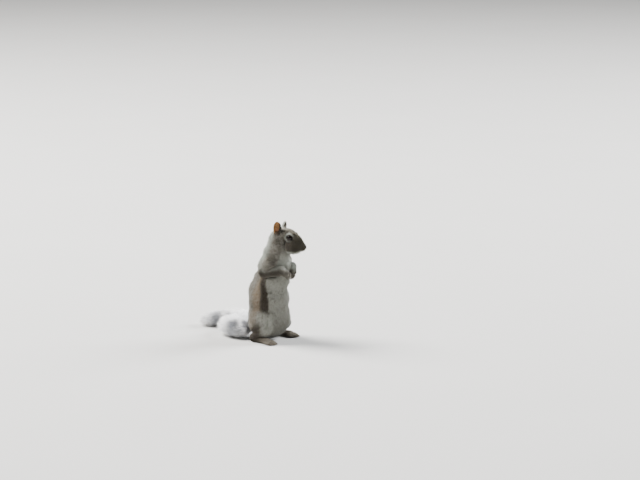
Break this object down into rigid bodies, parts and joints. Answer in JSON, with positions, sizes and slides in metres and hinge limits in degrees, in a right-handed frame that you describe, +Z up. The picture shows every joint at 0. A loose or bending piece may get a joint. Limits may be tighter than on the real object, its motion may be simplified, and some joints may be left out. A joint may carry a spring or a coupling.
{
  "type": "grey squirrel figure",
  "caption": "Life-size still grey squirrel standing upright on its hind legs, forepaws folded on the chest and tail laid on the floor behind.",
  "frame": {"origin": "on the floor, under the middle of the whole animal's box", "axes": "+X is the way the trunk faces, +Y its left side, +Z up from the floor it stands on"},
  "size_m": [0.2818, 0.1298, 0.253],
  "materials": {
    "coat_back": "matte",
    "coat_belly": "matte",
    "coat_head": "matte",
    "coat_tail": "matte",
    "coat_paw": "matte",
    "ear": "satin",
    "eye": "gloss",
    "nose": "satin",
    "claw": "satin"
  },
  "bodies": {
    "root": {"abdomen": "coat_belly", "chest": "coat_back", "neck": "coat_back", "head": "coat_head", "eye_left": "eye", "eye_right": "eye", "nose": "nose", "ear_left": "ear", "ear_right": "ear", "thigh_left": "coat_back", "shank_left": "coat_back", "foot_left": "coat_paw", "claw_foot_left_1": "claw", "claw_foot_left_2": "claw", "claw_foot_left_3": "claw", "claw_foot_left_4": "claw", "claw_foot_left_5": "claw", "thigh_right": "coat_back", "shank_right": "coat_back", "foot_right": "coat_paw", "claw_foot_right_1": "claw", "claw_foot_right_2": "claw", "claw_foot_right_3": "claw", "claw_foot_right_4": "claw", "claw_foot_right_5": "claw", "upper_arm_right": "coat_back", "forearm_right": "coat_back", "hand_right": "coat_paw", "claw_hand_right_1": "claw", "claw_hand_right_2": "claw", "claw_hand_right_3": "claw", "claw_hand_right_4": "claw", "upper_arm_left": "coat_back", "forearm_left": "coat_back", "hand_left": "coat_paw", "claw_hand_left_1": "claw", "claw_hand_left_2": "claw", "claw_hand_left_3": "claw", "claw_hand_left_4": "claw", "tail_1": "coat_tail", "tail_2": "coat_tail", "tail_3": "coat_tail", "tail_4": "coat_tail"}
  },
  "joints": []
}
